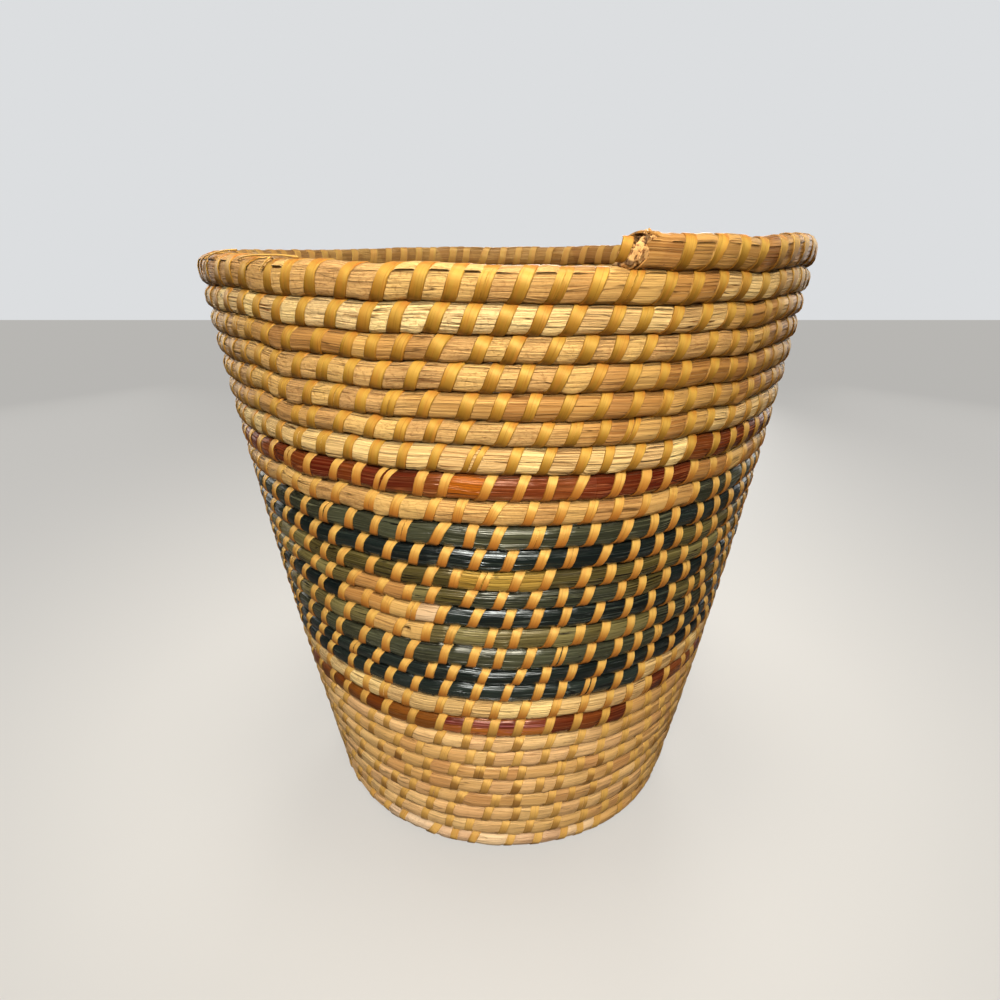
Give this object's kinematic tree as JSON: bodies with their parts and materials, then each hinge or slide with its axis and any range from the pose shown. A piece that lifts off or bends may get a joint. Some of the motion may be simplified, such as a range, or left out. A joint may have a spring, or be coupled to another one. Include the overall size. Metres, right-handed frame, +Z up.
{
  "type": "coiled straw wastebasket",
  "caption": "Open flaring wastebasket of coiled, cane-laced straw rope with a flat spiral base, red and dark dyed bands and a torn rope end on the rim.",
  "frame": {"origin": "middle of the base's underside, on the floor", "axes": "+Z up out of the open mouth, -Y towards the front, +X to the right as seen from the front; each turn hands over to the next 33 degrees to the right of the front, and the rope's torn end lies on the rim 19 degrees to the right of the front"},
  "size_m": [0.3033, 0.3042, 0.3113],
  "materials": {
    "straw_golden": "leaf-wrapped straw bundle, satin, golden tan",
    "straw_pale": "leaf-wrapped straw bundle, matt, pale",
    "straw_red": "straw bundle dyed brown-red, satin",
    "straw_black": "straw bundle dyed blue-black, satin",
    "straw_olive": "straw bundle dyed olive, satin",
    "cane": "split cane, satin, golden",
    "straw_cut": "bare cut stems, matt"
  },
  "bodies": {
    "root": {"base_start_tip": "straw_pale", "base_coil_1": "straw_pale", "base_coil_2": "straw_pale", "base_coil_3": "straw_pale", "base_coil_4": "straw_pale", "base_coil_5": "straw_pale", "base_coil_6": "straw_pale", "base_coil_7": "straw_pale", "base_coil_8": "straw_pale", "wall_coil_01": "straw_pale", "wall_coil_02": "straw_pale", "wall_coil_03": "straw_pale", "wall_coil_04": "straw_pale", "wall_coil_05": "straw_pale", "wall_coil_06": "straw_pale", "wall_coil_07": "straw_pale", "wall_coil_08": "straw_pale", "wall_coil_09_red": "straw_red", "wall_coil_10": "straw_golden", "wall_coil_11_black": "straw_black", "wall_coil_12_black": "straw_black", "wall_coil_13_black": "straw_black", "wall_coil_14_olive": "straw_olive", "wall_coil_15_black": "straw_black", "wall_coil_16_olive": "straw_olive", "wall_coil_17_olive": "straw_olive", "wall_coil_18_black": "straw_black", "wall_coil_19_black": "straw_black", "wall_coil_20": "straw_golden", "wall_coil_21_red": "straw_red", "wall_coil_22": "straw_golden", "wall_coil_23": "straw_golden", "wall_coil_24": "straw_golden", "wall_coil_25": "straw_golden", "wall_coil_26": "straw_golden", "wall_coil_27": "straw_golden", "rim_coil": "straw_golden", "rim_end_stems": "straw_cut", "rim_lacing": "cane"}
  },
  "joints": []
}
